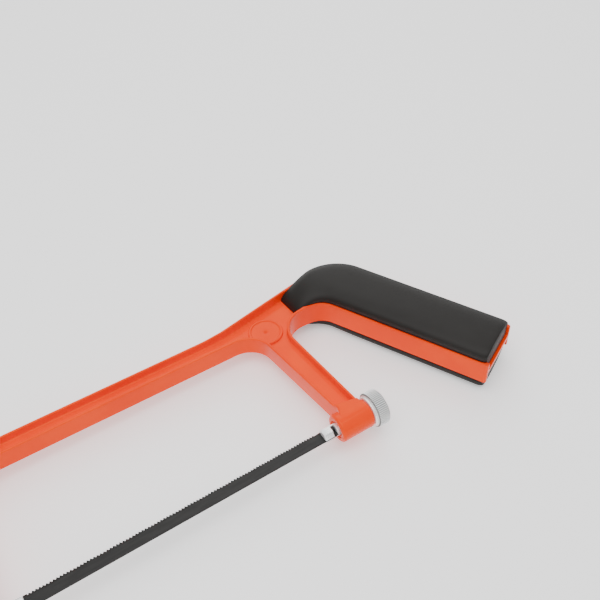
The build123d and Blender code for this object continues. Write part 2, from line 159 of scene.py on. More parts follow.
def piece(name, parts, material, body, replaced):
    """One object from (points in mm, faces) parts, merged and shaded smooth."""
    return finish_piece(name, mesh_from(name, parts), material, body, replaced)


def finish_piece(name, mesh, material, body, replaced):
    """Merges a mesh's doubled points, turns its faces outwards and hands it to its body."""
    with editing(mesh) as edit:
        bmesh.ops.remove_doubles(edit, verts=edit.verts, dist=MERGE)
        bmesh.ops.dissolve_degenerate(edit, edges=edit.edges, dist=MERGE)
        bmesh.ops.recalc_face_normals(edit, faces=edit.faces)
    mesh.shade_smooth()
    mesh.materials.clear()
    mesh.materials.append(material)
    made = bpy.data.objects.new(name, mesh)
    bpy.context.scene.collection.objects.link(made)
    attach(made, body)
    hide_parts(*replaced)
    print(name, "has", len(mesh.polygons), "faces")
    return made


# %% [markdown]
# ## Outlines with rounded corners
# Cast and moulded parts are drawn as straight lines joined by arcs. One function turns a
# list of corners and radii into points, and one moves such a line sideways, which is how
# a rim or a wall follows the outline.

# %% Outlines
ARC_STEP = math.radians(4)
LINE_STEP = 4.0


def bend(before, corner, after, radius, count=None):
    """Arc of this radius that touches both sides of a corner."""
    come, go = corner - before, after - corner
    come, go = come / np.hypot(*come), go / np.hypot(*go)
    angle = math.atan2(come[0] * go[1] - come[1] * go[0], come @ go)
    reach = radius * math.tan(abs(angle) / 2)
    count = count or max(int(abs(angle) / ARC_STEP), 1)
    turned = np.linspace(0, angle, count + 1)[:, None]
    side = np.array([-come[1], come[0]]) * math.copysign(radius, angle)
    middle = corner - come * reach + side
    return middle - side * np.cos(turned) + come * radius * np.sin(abs(turned))


def rounded_line(corners, radii):
    """Open line through the corners, with an arc at each and its straights divided."""
    corners = np.asarray(corners, float)
    runs, last = [], corners[0]
    for before, corner, after, radius in zip(corners, corners[1:], corners[2:], radii):
        turn = bend(before, corner, after, radius) if radius else corner[None, :]
        runs += [straight(last, turn[0])[:-1], turn[:-1]]
        last = turn[-1]
    runs.append(straight(last, corners[-1]))
    return np.concatenate(runs)


def straight(start, end, step=LINE_STEP):
    """Points from start to end, no further apart than step."""
    count = max(int(np.ceil(np.hypot(*(np.asarray(end) - start)) / step)), 1)
    return start + (end - start) * np.linspace(0, 1, count + 1)[:, None]


def sideways(line):
    """Step to the left of an open line at each point, longer at corners to keep 1 mm away."""
    ahead = np.roll(line, -1, 0) - line
    ahead[-1] = ahead[-2]
    ahead /= np.linalg.norm(ahead, axis=1, keepdims=True)
    behind = np.roll(ahead, 1, 0)
    behind[0] = ahead[0]
    left = np.stack([-ahead[:, 1], ahead[:, 0]], 1) + np.stack([-behind[:, 1], behind[:, 0]], 1)
    return 2 * left / np.sum(left * left, axis=1, keepdims=True)


def smooth(t):
    """Rises from 0 to 1 with no kink at either end."""
    t = np.clip(t, 0, 1)
    return t * t * (3 - 2 * t)


def arc(centre, radius, start, end, count=5):
    """Points on an arc between two angles in degrees."""
    angle = np.radians(np.linspace(start, end, count + 1))
    return np.stack([centre[0] + radius * np.cos(angle), centre[1] + radius * np.sin(angle)], 1)


# %% [markdown]
# ## The saw's plan
# These sizes are the solid model's own. Heights are measured from the blade's centre line.

# %% Sizes of the casting
BEAM_HALF = 5.3
HANDLE_HALF = 6.56
WEB_HALF = 1.3
BEAM_TOP = 80.85
BEAM_BOTTOM = 70.9
OPENING_TOP = 70.2
RISE_ANGLE = math.radians(11.3)
RISE_START = -17.0
LEAN = math.radians(26.5)
CROTCH_X = 37.19
HANDLE_WIDTH = 32.4
HANDLE_END = 49.0
HANDLE_INNER = CROTCH_X * math.cos(LEAN) + OPENING_TOP * math.sin(LEAN)
HANDLE_OUTER = HANDLE_INNER + HANDLE_WIDTH
LEG_FRONT, LEG_FRONT_LEAN = 5.2, math.radians(6.4)
LEG_REAR, LEG_REAR_LEAN = 16.4, math.radians(4.2)
FRONT_FACE = -156.5
FRONT_BOSS_LENGTH = 12.5
FRONT_BOSS_RADIUS = 6.5
FRONT_LEAN = math.radians(1.0)
BARREL_LENGTH = 17.8
BARREL_RADIUS = 7.0
CROTCH_RADIUS = 12.0
LEG_TOP_RADIUS = 13.0
THROAT_RADIUS = 13.2
FRONT_TOP_RADIUS = 15.0
BEND_RADIUS = 100.0
HUMP_RADIUS = 25.0


def along_handle(across, along):
    """Plan point from its distance square to the handle and its distance down the handle."""
    c, s = math.cos(LEAN), math.sin(LEAN)
    return np.array([across * c + along * s, across * s - along * c])


def rise_height(x):
    """Height of the sloping top edge behind the bend."""
    return BEAM_TOP + (x - RISE_START) * np.tan(RISE_ANGLE)


def hump_corner():
    """Where the sloping top edge meets the handle's back."""
    slope = math.tan(RISE_ANGLE)
    base = BEAM_TOP - RISE_START * slope
    x = (HANDLE_OUTER - base * math.sin(LEAN)) / (math.cos(LEAN) + slope * math.sin(LEAN))
    return np.array([x, base + slope * x])


# %% [markdown]
# ## The casting
# The frame is one die casting of I section: a thin web in the middle plane with a rim on
# both sides all the way round. So it is one profile, which goes over a rim from the upper
# face of the web to the lower one, carried along the outline. The web is the face inside.
# Every edge is rounded, because a mould needs it and because the gloss shows it.

# %% The rim's profile
RIM = 1.35
FLANGE = 2.5
OUTER_ROUND = 0.6
INNER_ROUND = 0.45
FOOT_ROUND = 0.85
DRAFT = 0.12
HOLD = 0.04  # short step beside an arc, which keeps the flat next to it flat


def rim_profile(width, half):
    """Distance inwards and height over one rim, a row for each rim width and half height."""
    width, half = width[:, None], half[:, None]
    angle = np.radians(np.linspace(0, 90, 6))[None, :]
    sin, cos = np.sin(angle), np.cos(angle)
    foot = width + DRAFT + FOOT_ROUND
    ones = np.ones_like(width)
    inwards = np.concatenate([
        foot + 3 * HOLD, foot + HOLD,
        foot - FOOT_ROUND * sin,
        width + DRAFT, width,
        width - INNER_ROUND + INNER_ROUND * cos,
        width - INNER_ROUND - HOLD, ones * (OUTER_ROUND + HOLD),
        ones * (OUTER_ROUND - OUTER_ROUND * sin),
        ones * 0,
    ], 1)
    height = np.concatenate([
        ones * WEB_HALF, ones * WEB_HALF,
        ones * (WEB_HALF + FOOT_ROUND - FOOT_ROUND * cos),
        ones * (WEB_HALF + FOOT_ROUND + HOLD), half - INNER_ROUND - HOLD,
        half - INNER_ROUND + INNER_ROUND * sin,
        half, half,
        half - OUTER_ROUND + OUTER_ROUND * cos,
        half - OUTER_ROUND - HOLD,
    ], 1)
    over = np.concatenate([inwards, inwards[:, ::-1]], 1)
    return over, np.concatenate([height, -height[:, ::-1]], 1)


# %% The outline, from the handle's finger side round the saw to its back
END_ROUND = 0.4
END_CORNER = 1.5
LEG_INSET = 1.0
front_inner = FRONT_FACE - LEG_INSET
front_outer = FRONT_FACE - FRONT_BOSS_LENGTH + LEG_INSET
outline = rounded_line([
    along_handle(HANDLE_INNER, HANDLE_END - END_CORNER),
    (CROTCH_X, OPENING_TOP),
    (LEG_REAR - OPENING_TOP * math.tan(LEG_REAR_LEAN), OPENING_TOP),
    (LEG_REAR, 0),
    (LEG_FRONT, 0),
    (LEG_FRONT - BEAM_BOTTOM * math.tan(LEG_FRONT_LEAN), BEAM_BOTTOM),
    (front_inner + BEAM_BOTTOM * math.tan(FRONT_LEAN), BEAM_BOTTOM),
    (front_inner, 0),
    (front_outer, 0),
    (front_outer - BEAM_TOP * math.tan(FRONT_LEAN), BEAM_TOP),
    (RISE_START, BEAM_TOP),
    hump_corner(),
    along_handle(HANDLE_OUTER, HANDLE_END - END_CORNER),
], [
    CROTCH_RADIUS, LEG_TOP_RADIUS, 0, 0, THROAT_RADIUS, THROAT_RADIUS, 0, 0,
    FRONT_TOP_RADIUS, BEND_RADIUS, HUMP_RADIUS,
])
print("outline has", len(outline), "points")

# %% [markdown]
# The handle is thicker than the beam and its rim is wider, and both grow gently along the
# outline. At the handle's end the two rims are joined by rings that turn the end's corners
# in plan and round its edges in height at the same time.

# %% The casting's surface
THICKEN_TURN = math.radians(60)
THICKEN_FROM, THICKEN_TO = 54.0, 70.0
FULL_FROM_X = 22.0
WIDEN_FROM_X, WIDEN_RUN = 24, 8
END_RINGS = 10


def half_height(x, y):
    """Half the casting's thickness, which grows to the handle's across a slanting line."""
    line = x * math.cos(THICKEN_TURN) + y * math.sin(THICKEN_TURN)
    part = smooth((line - THICKEN_FROM) / (THICKEN_TO - THICKEN_FROM))
    part = np.where(x > FULL_FROM_X, 1.0, part)
    return BEAM_HALF + (HANDLE_HALF - BEAM_HALF) * part


def casting():
    """Rim profile carried along the outline, the web's two faces and the handle's end."""
    x, y = outline.T
    width = RIM + (FLANGE - RIM) * smooth((x - WIDEN_FROM_X) / WIDEN_RUN)
    inwards, height = rim_profile(width, half_height(x, y))
    inside = -sideways(outline)
    plan = outline[:, None, :] + inside[:, None, :] * inwards[:, :, None]
    points = np.concatenate([plan, height[:, :, None]], 2)
    rows, columns = height.shape
    faces = grid(rows, columns)
    top = [r * columns for r in range(rows)]
    faces += [top, [i + columns - 1 for i in top[::-1]]]
    number = list(range(columns)) + [rows * columns - 1 - i for i in range(columns)]
    rings, start = [], rows * columns
    for angle in np.radians(np.linspace(0, 90, END_RINGS + 1)[1:]):
        along = HANDLE_END - END_CORNER + END_CORNER * math.sin(angle)
        corner = END_CORNER * (1 - math.cos(angle))
        past = min(max(along - HANDLE_END + END_ROUND, 0) / END_ROUND, 1)
        edge = END_ROUND * (1 - math.sqrt(1 - past * past))
        sides = []
        for inset, z, outer, way in (
            (inwards[0], height[0], HANDLE_INNER, 1),
            (inwards[-1, ::-1], height[-1, ::-1], HANDLE_OUTER, -1),
        ):
            in_rim = corner + inset * (FLANGE - corner - edge) / FLANGE
            inset = np.where(inset <= FLANGE, in_rim, inset - edge)
            plan_ring = along_handle(outer + way * inset, along).T
            sides.append(np.column_stack([plan_ring, z - edge * np.sign(z)]))
        ring = np.concatenate(sides)
        rings.append(ring)
        this = list(range(start, start + len(ring)))
        pairs = zip(number, number[1:] + number[:1], this[1:] + this[:1], this)
        faces += [list(four) for four in pairs]
        number, start = this, start + len(ring)
    faces.append(number)
    return np.concatenate([points.reshape(-1, 3)] + rings), faces


# %% [markdown]
# ## Turned parts
# The barrel, the bosses, the knob, the washer and the pins are all turned: a profile of
# distance along an axis and radius, carried round the circle.

# %% Turning a profile
AROUND = 96
AXIS = 0.001  # radius of the small ring that closes a solid profile at its axis
BOSS_ROUND = 1.3
GUIDE_DEPTH = 8.5
SHANK_DEPTH = 9


def turned(profile, axis="x", at=(0, 0, 0), around=AROUND, closed=True):
    """Profile of (along, radius) points carried round the x or z axis."""
    profile = np.asarray(profile, float)
    angle = np.linspace(0, 2 * np.pi, around, endpoint=False)[None, :]
    along = profile[:, :1] + 0 * angle
    a, b = profile[:, 1:] * np.cos(angle), profile[:, 1:] * np.sin(angle)
    points = np.stack([along, a, b] if axis == "x" else [a, b, along], -1) + np.asarray(at)
    return points.reshape(-1, 3), grid(len(profile), around, wrap_rows=closed, wrap_columns=True)


def barrel():
    """Barrel of the tension bolt, with a sunk ring round the bolt and a bore right through."""
    end, radius, r = BARREL_LENGTH, BARREL_RADIUS, BOSS_ROUND
    bore, guide, sink = 2.6, 3.55, 4.4
    return turned(np.concatenate([
        [(GUIDE_DEPTH, guide), (0.9, guide), (0.8, guide + 0.1)],
        [(0.8, sink - 0.1), (0.7, sink), (0.15, sink)],
        [(0.02, sink + 0.13), (0, sink + 0.25), (0, radius - r - HOLD)],
        arc((r, radius - r), r, 180, 90, 8),
        [(r + HOLD, radius), (end - r - HOLD, radius)],
        arc((end - r, radius - r), r, 90, 0, 8),
        [(end, radius - r - HOLD), (end, bore), (GUIDE_DEPTH, bore)],
    ]))


def front_boss():
    """Boss at the foot of the front leg, rounded at both ends, with a hole for the shank."""
    end, radius, r = FRONT_FACE, FRONT_BOSS_RADIUS, BOSS_ROUND
    start, floor = end - FRONT_BOSS_LENGTH, end - SHANK_DEPTH
    return turned(np.concatenate([
        [(floor, 2.9), (end - 0.1, 2.95), (end, 3.2), (end, radius - r - HOLD)],
        arc((end - r, radius - r), r, 0, 90, 8),
        [(end - r - HOLD, radius), (start + r + HOLD, radius)],
        arc((start + r, radius - r), r, 90, 180, 8),
        [(start, radius - r - HOLD), (start, AXIS), (floor, AXIS)],
    ]))


COIN_AT = (3.5, 71.1)
COIN_RADIUS = 9.1
COIN_RISE = 1.3


def coin_boss(side):
    """Low round boss with a rounded lip round a slightly sunk disc; its foot is in the web."""
    top, r = WEB_HALF + COIN_RISE, COIN_RADIUS
    foot, sunk = WEB_HALF - 0.8, top - 0.62
    rise = np.concatenate([
        [(foot, AXIS), (foot, r - 0.2), (WEB_HALF - 0.4, r), (top - 0.7, r)],
        arc((r - 0.6, top - 0.6), 0.6, 0, 90)[:, ::-1],
        arc((r - 1.0, top - 0.5), 0.5, 90, 170)[:, ::-1],
        [(sunk, r - across) for across in (1.75, 1.9, 4.0, 7.0, 9.0)],
    ])
    rise[:, 0] *= side
    return turned(rise, "z", (*COIN_AT, 0))


# %% [markdown]
# ## The blocks that join the legs to their barrels
# Above the barrel the leg fills up to a flat land as high as the barrel, and a ramp leads
# from it down to the web. It is a rounded rectangle carried up the leg, losing height. Its
# foot flares out where it meets the barrel, like the fillet of a casting, and the rear
# ramp slants across the leg.

# %% Leg blocks
RAMP_LEAN = math.tan(math.radians(12))
RAMP_END = 1.0
FLARE_HEIGHT = 5.5
BLOCK_ROUND = 1.1
EASE = 0.12  # part of the ramp over which the flat land bends down into it


def rounded_section(half_width, half_height, radius, count=6):
    """Rounded rectangle round zero, as arrays over the stations, one row each."""
    angle = np.radians(np.linspace(0, 90, count + 1))
    quarter = np.stack([np.cos(angle), np.sin(angle)], 1)
    radius = np.minimum(radius, half_height * 0.95)[:, None]
    x = half_width[:, None] - radius + radius * quarter[None, :, 0]
    z = half_height[:, None] - radius + radius * quarter[None, :, 1]
    across = np.concatenate([x, -x[:, ::-1], -x, x[:, ::-1]], 1)
    return across, np.concatenate([z, z[:, ::-1], -z, -z[:, ::-1]], 1)


def leg_block(left, right, land, foot, top, lean, flare):
    """Loft up the leg between its edges: full height up to land, then a ramp down to foot."""
    below, level = [-2.4, -1.2, 0], np.linspace(0.5, land - 0.6, 6)
    y = np.concatenate([below, level, np.linspace(land - 0.4, foot, 14)])
    fall = np.clip((y - land) / (foot - land), 0, 1)
    soft = np.where(fall < EASE, fall * fall / (2 * EASE), fall - EASE / 2)
    height = top - (top - RAMP_END) * soft / (1 - EASE / 2)
    height[:2] = np.sqrt(top ** 2 - y[:2] ** 2) - 0.06
    spread = flare * (1 - smooth(y / FLARE_HEIGHT))
    half = (right(y) - left(y)) / 2 + 0.03 + spread
    centre = (right(y) + left(y)) / 2 - 0.45 * spread
    across, z = rounded_section(half, height, np.full_like(y, BLOCK_ROUND))
    x = centre[:, None] + across
    slant = -across * lean * smooth((y - 2) / 5)[:, None]
    points = np.stack([x, y[:, None] + slant, z], 2)
    rows, columns = z.shape
    return points.reshape(-1, 3), closed_loft(rows, columns)


rear_block = leg_block(
    lambda y: LEG_FRONT - y * math.tan(LEG_FRONT_LEAN),
    lambda y: LEG_REAR - y * math.tan(LEG_REAR_LEAN),
    land=6.4, foot=10.2, top=7.02, lean=RAMP_LEAN, flare=2.0,
)
front_block = leg_block(
    lambda y: front_outer - y * math.tan(FRONT_LEAN),
    lambda y: front_inner + y * math.tan(FRONT_LEAN),
    land=6.0, foot=10.0, top=6.51, lean=0, flare=0.4,
)
print("leg blocks have", len(rear_block[1]), "and", len(front_block[1]), "faces")

# %% [markdown]
# ## Materials as expressions
# A node tree is easier to read as arithmetic. One small class wraps a socket, so that
# adding or multiplying two of them puts the node there. The other holds a material.

# %% Shader arithmetic


class Wire:
    """A socket, or a number, that can be used in arithmetic; each operation adds a Math node."""

    def __init__(self, tree, socket):
        self.tree, self.socket = tree, socket

    def math(self, operation, *others):
        values = dict(enumerate((self, *others)))
        return self.tree.add("ShaderNodeMath", {"operation": operation}, values)

    def __add__(self, other):
        return self.math("ADD", other)

    def __mul__(self, other):
        return self.math("MULTIPLY", other)

    def __sub__(self, other):
        return self.math("SUBTRACT", other)

    def __rsub__(self, other):
        return self.tree.add("ShaderNodeMath", {"operation": "SUBTRACT"}, {0: other, 1: self})

    def __pow__(self, other):
        return self.math("POWER", other)

    __radd__, __rmul__ = __add__, __mul__

    def step(self, low, high):
        """0 below low, 1 above high and smooth between."""
        values = {"Value": self, "From Min": low, "From Max": high}
        return self.tree.add("ShaderNodeMapRange", {"interpolation_type": "SMOOTHSTEP"}, values)


class Finish:
    """A material with one Principled shader, built up by calls."""

    def __init__(self, name):
        self.material = bpy.data.materials.new(name)
        self.material.use_nodes = True
        self.nodes = self.material.node_tree.nodes
        self.links = self.material.node_tree.links
        self.shader = self.nodes["Principled BSDF"]
        self.place = self.add("ShaderNodeTexCoord", {}, {}, "Object")

    def put(self, socket, value):
        if isinstance(value, Wire):
            self.links.new(value.socket, socket)
        else:
            socket.default_value = value

    def add(self, kind, settings, values, output=0):
        """A node of this kind: its settings first, then its sockets' values or links."""
        node = self.nodes.new(kind)
        for name, value in settings.items():
            setattr(node, name, value)
        for name, value in values.items():
            self.put(node.inputs[name], value)
        return Wire(self, node.outputs[output])

    def noise(self, size, detail=2.0, roughness=0.5, stretch=(1, 1, 1)):
        """Noise whose spots are about size millimetres across, in the piece's own place."""
        place = self.place
        if stretch != (1, 1, 1):
            place = self.add("ShaderNodeMapping", {}, {"Vector": place, "Scale": stretch})
        values = {"Vector": place, "Scale": 1 / (size * MM)}
        values |= {"Detail": detail, "Roughness": roughness}
        return self.add("ShaderNodeTexNoise", {}, values)

    def mix(self, factor, first, second):
        """Colour between first and second."""
        values = {"Factor": factor, 6: first, 7: second}
        return self.add("ShaderNodeMix", {"data_type": "RGBA"}, values, 2)

    def bump(self, height, depth, strength):
        """Surface relief of this depth in millimetres."""
        values = {"Height": height, "Distance": depth * MM, "Strength": strength}
        return self.add("ShaderNodeBump", {}, values)

    def set(self, **sockets):
        """Sets the shader's own sockets, with underscores for the spaces in their names."""
        for name, value in sockets.items():
            self.put(self.shader.inputs[name.replace("_", " ")], value)
        return self.material


# %% [markdown]
# ## Gloss powder coat
# The casting is sprayed with powder and baked: an even, deep orange under a hard gloss,
# with a faint ripple like orange peel. Colour and gloss vary a little from place to place.

# %% Orange coat
coat = Finish("orange_powder_coat")
peel = coat.noise(1.6, 2.0)
patch = coat.noise(22, 3.0)
speck = coat.noise(0.5, 1.0)
orange = coat.mix(patch.step(0.3, 0.7), (0.87, 0.038, 0.0, 1), (0.92, 0.050, 0.0, 1))
orange_coat = coat.set(
    Base_Color=orange,
    Roughness=0.12 + 0.06 * patch + 0.03 * speck,
    Metallic=0.0,
    IOR=1.31,
    Specular_Tint=(1.0, 0.5, 0.12, 1),
    Normal=coat.bump(peel, 0.02, 0.35),
)

# %% The whole casting
casting_parts = [
    casting(), barrel(), front_boss(), rear_block, front_block, coin_boss(1), coin_boss(-1),
]
piece("casting", casting_parts, orange_coat, "saw_frame", ["frame"])

# %% [markdown]
# ## The grip shells
# Each shell is a moulded cover that follows the handle round its bend. Across the handle it
# stands up from the flange, turns over a shoulder and crosses in a flat arch; along it, it
# starts at the web as a rounded nose. So the height is the arch times a quarter ellipse,
# and the grid's rows fan round the bend from the finger side to the back.

# %% Grip sizes
NOSE_X = 23.6
NOSE_LENGTH = 24.0
SHELL_END = 47.5
SEAT = HANDLE_HALF + 0.04
CROWN = 13.5
RIDGE = 0.36
SHOULDER_FOOT = 9.2
BACK_EDGE = 9.0
RISE_POWER, FALL_POWER = 2.4, 2.2
BASE = WEB_HALF + 0.05
WALL_INSET, NOSE_INSET, END_INSET = 0.6, 1.0, 1.3
SEAM_GROOVE = 0.45
SEAM_TOP, WALL_TOP = SEAT + 0.9, SEAT + 1.2
SKIRT = FLANGE + 0.2
SKIRT_FROM_LOW, SKIRT_FROM_HIGH = 6, 12
FAN_ROWS = (34, 30, 24)
TAIL_ROWS = 6
ARCH_COLUMNS = 31
LAST_STEP, LAST_REACH = 0.96, 0.955
NOSE_TOP_GAP = 0.3
NOSE_EDGE = 0.0005
NOSE_ABOVE = 50
END_DROP = 0.35
# x where the nose's inset starts to fade, its run, and the height where the handle starts
LOW_FADE, HIGH_FADE = (25, 8, 60), (26, 20, 75)

# %% [markdown]
# A shell's rows run between two lines, one on the finger side and one along the back. Both
# go round the handle's bend, and their last few rows close up to round the handle's end.

# %% Grip rows


def behind_nose(x, y):
    """Distance behind the nose's leading edge, which leans like the rear leg."""
    return x - (NOSE_X - (y - OPENING_TOP) * math.tan(LEG_REAR_LEAN))


def fan(corner, radius, start, end):
    """Rows of points along a line with one rounded corner: before, round and after the bend."""
    first, corner, last = (np.asarray(p, float) for p in (start, corner, end))
    turn = bend(first, corner, last, radius, FAN_ROWS[1])
    closing_up = np.linspace(0, 1, FAN_ROWS[0] + 1)[:, None] ** 2
    before = first + (turn[0] - first) * closing_up
    part = np.concatenate([np.linspace(0, 1, FAN_ROWS[2] + 1)[:-1], [LAST_STEP]])
    after = turn[-1] + (last - turn[-1]) * part[:, None] / LAST_STEP * LAST_REACH
    return np.concatenate([before[:-1], turn[:-1], after])


def shell_edges():
    """Points of the shell's finger side and back, and how far each row has closed the end."""
    top_y = rise_height(NOSE_X) - NOSE_TOP_GAP
    top_x = NOSE_X - (top_y - OPENING_TOP) * math.tan(LEG_REAR_LEAN)
    end_low = along_handle(HANDLE_INNER, SHELL_END)
    end_high = along_handle(HANDLE_OUTER, SHELL_END)
    finger = fan((CROTCH_X, OPENING_TOP), CROTCH_RADIUS, (NOSE_X, OPENING_TOP), end_low)
    back = fan(hump_corner(), HUMP_RADIUS, (top_x, rise_height(top_x)), end_high)
    tail = np.sin(np.radians(np.linspace(0, 90, TAIL_ROWS + 1)))[1:]
    finger = np.concatenate([finger, finger[-1] + (end_low - finger[-1]) * tail[:, None]])
    back = np.concatenate([back, back[-1] + (end_high - back[-1]) * tail[:, None]])
    closed = np.zeros(len(finger))
    closed[-TAIL_ROWS:] = 1 - np.sqrt(1 - tail ** 2)
    return finger, back, closed


# %% [markdown]
# Each row is one closed section: a wall on either side, with the seam's groove at its foot,
# and the arch between the walls. The nose then lowers the whole section to the web.

# %% Grip walls, arch and nose


def wall_inset(line, closed, start, run, handle_below):
    """How far a wall stands inside the casting's edge: more at the nose and at the end."""
    at_nose = 1 - smooth((line[:, 0] - start) / run)
    at_nose[line[:, 1] < handle_below] = 0
    return WALL_INSET + NOSE_INSET * at_nose + END_INSET * closed


def wall(inset, skirt):
    """Columns of one wall: down into the casting, along the seam's groove and up."""
    return np.stack([skirt, skirt, inset + SEAM_GROOVE, inset + SEAM_GROOVE, inset, inset], 1)


def arch(v):
    """Height across the handle: steep up to the ridge and a long fall to the back."""
    t = np.clip(v / RIDGE, 0, 1)
    rise = (CROWN - SHOULDER_FOOT) * (1 - (1 - t) ** RISE_POWER) ** (1 / RISE_POWER)
    u = np.clip((v - RIDGE) / (1 - RIDGE), 0, 1)
    fall = CROWN - (CROWN - BACK_EDGE) * u ** FALL_POWER
    return np.where(v < RIDGE, SHOULDER_FOOT + rise, fall)


def shell(side):
    """Grip shell on one side: sections across the handle, from the nose to the handle's end."""
    finger, back, closed = shell_edges()
    across = back - finger
    width = np.hypot(*across.T)[:, None]
    across /= width
    low = wall_inset(finger, closed, *LOW_FADE)
    high = wall_inset(back, closed, *HIGH_FADE)
    low_wall = wall(low, np.where(behind_nose(*finger.T) < SKIRT_FROM_LOW, low, SKIRT))
    high_wall = wall(high, np.where(behind_nose(*back.T) < SKIRT_FROM_HIGH, high, SKIRT))
    v = 0.5 - 0.5 * np.cos(np.pi * np.linspace(0, 1, ARCH_COLUMNS + 2)[1:-1])
    middle = low[:, None] + (width[:, 0] - low - high)[:, None] * v[None, :]
    offset = np.concatenate([low_wall, middle, width - high_wall[:, ::-1]], 1)
    plan = finger[:, None, :] + across[:, None, :] * offset[:, :, None]
    section = np.concatenate([
        [BASE, SEAT, SEAT, SEAM_TOP, WALL_TOP, SHOULDER_FOOT], arch(v),
        [BACK_EDGE - 0.25, WALL_TOP, SEAM_TOP, SEAT, SEAT, BASE],
    ])
    x, y = plan[:, :, 0], plan[:, :, 1]
    along = np.where(y < NOSE_ABOVE, NOSE_LENGTH, behind_nose(x, y))
    part = np.clip(along / NOSE_LENGTH, NOSE_EDGE, 1)
    z = BASE + (section[None, :] - BASE) * np.sqrt(1 - (1 - part) ** 2)
    z -= END_DROP * (z > SEAT + 1) * closed[:, None]
    points = np.concatenate([plan, side * z[:, :, None]], 2)
    rows, columns = z.shape
    return points.reshape(-1, 3), closed_loft(rows, columns)


# %% [markdown]
# ## Satin grip plastic
# The shells are moulded in charcoal plastic from a spark-eroded mould: an even, fine grain
# that scatters the light, with faint cloudy patches in colour and gloss.

# %% Grip plastic
plastic = Finish("charcoal_grip_plastic")
grain = plastic.noise(0.22, 2.0, 0.6)
cloud = plastic.noise(14, 2.0)
charcoal = plastic.mix(
    cloud.step(0.3, 0.7), (0.0125, 0.0112, 0.010, 1), (0.0155, 0.0142, 0.0128, 1),
)
grip_plastic = plastic.set(
    Base_Color=charcoal,
    Roughness=0.44 + 0.1 * cloud + 0.08 * grain,
    Specular_IOR_Level=0.2,
    Normal=plastic.bump(grain, 0.03, 0.4),
)
piece("left_shell", [shell(1)], grip_plastic, "saw_frame", ["left_grip_shell"])
right_shell = piece(
    "right_shell", [shell(-1)], grip_plastic, "saw_frame", ["right_grip_shell"],
)

# %% [markdown]
# The lower shell has three sunk holes for the screws that hold the grip together. They are
# cut out as cylinders, and their rims stay sharp while the rest is shaded smooth.

# %% Sunk holes for the screws, cut in the lower shell
CROWN_LINE = 15.2
SCREW_STATIONS = (-30.0, 5.0, 37.0)
HOLE_RADIUS = 2.8
HOLE_START, HOLE_FLOOR = -16, -9.5
HOLE_AROUND = 48
HOLE_MERGE = 2e-6
SHARP = math.radians(40)
hole_profile = [
    (HOLE_START, AXIS), (HOLE_START, HOLE_RADIUS), (HOLE_FLOOR, HOLE_RADIUS), (HOLE_FLOOR, AXIS),
]
hole_places = [(*along_handle(HANDLE_INNER + CROWN_LINE, s), 0) for s in SCREW_STATIONS]
cutter_mesh = mesh_from(
    "screw_holes", [turned(hole_profile, "z", at, HOLE_AROUND) for at in hole_places],
)
with editing(cutter_mesh) as cutter_edit:
    bmesh.ops.remove_doubles(cutter_edit, verts=cutter_edit.verts, dist=HOLE_MERGE)
    bmesh.ops.recalc_face_normals(cutter_edit, faces=cutter_edit.faces)
cutter = bpy.data.objects.new("screw_holes", cutter_mesh)
bpy.context.scene.collection.objects.link(cutter)
hole_cut = right_shell.modifiers.new("holes", "BOOLEAN")
hole_cut.operation, hole_cut.object, hole_cut.solver = "DIFFERENCE", cutter, "EXACT"
ready = right_shell.evaluated_get(bpy.context.evaluated_depsgraph_get())
cut_mesh = bpy.data.meshes.new_from_object(ready)
right_shell.modifiers.clear()
cut_mesh.name, right_shell.data = "right_shell_cut", cut_mesh
cut_mesh.set_sharp_from_angle(angle=SHARP)
bpy.data.objects.remove(cutter)
print("right shell with its holes has", len(cut_mesh.polygons), "faces")

# %% [markdown]
# ## Plated steel
# The knob, washer, holders and pins are steel with a bright zinc coat: nearly white metal
# with soft reflections and faint cloudy patches.

# %% Zinc plate
def zinc_finish(name, groove_shade=None):
    """Bright zinc; where the painted shade mask rises from 0 to 1, the metal is painted darker
    and duller.
    """
    zinc = Finish(name)
    bloom, fine = zinc.noise(3.0, 3.0, 0.6), zinc.noise(0.3, 1.0)
    bright, cloudy = (0.97, 0.97, 0.96, 1), (0.86, 0.87, 0.88, 1)
    colour = zinc.mix(bloom.step(0.3, 0.75), bright, cloudy)
    roughness = 0.22 + 0.12 * bloom
    if groove_shade:
        # painted shade: the mask paints the metal dark grey and duller where it would lie in
        # shadow
        shade_mask = groove_shade(zinc)
        colour = zinc.mix(shade_mask, colour, (0.16, 0.16, 0.155, 1))
        roughness = roughness + 0.2 * shade_mask
    return zinc.set(
        Base_Color=colour, Roughness=roughness, Metallic=0.5, Normal=zinc.bump(fine, 0.01, 0.3),
    )


zinc_plate = zinc_finish("bright_zinc_plate")

# %% [markdown]
# ## The tension knob
# A nut with a straight knurl: fifty-eight ridges round a chamfered disc. The radius is the
# profile's own, less a groove that repeats round the circle and dies out at the chamfers.

# %% Knob and washer
WASHER_THICK = 1.05
WASHER_RADIUS, WASHER_BORE = 7.5, 2.65
RUN_GAP = 0.05
KNOB_START = BARREL_LENGTH + WASHER_THICK + RUN_GAP
KNOB_RADIUS, KNOB_BORE = 8.94, 2.56
KNOB_LENGTH = 6.6
# steps along the axis from an end face, and how far the radius is below the full one there
KNOB_CHAMFER = ((0, 1.25), (0.1, 0.85), (0.45, 0.42), (0.62, 0.1), (0.75, 0), (0.8, 0))
RIDGES, POINTS_PER_RIDGE = 58, 8
GROOVE_DEPTH = 0.55


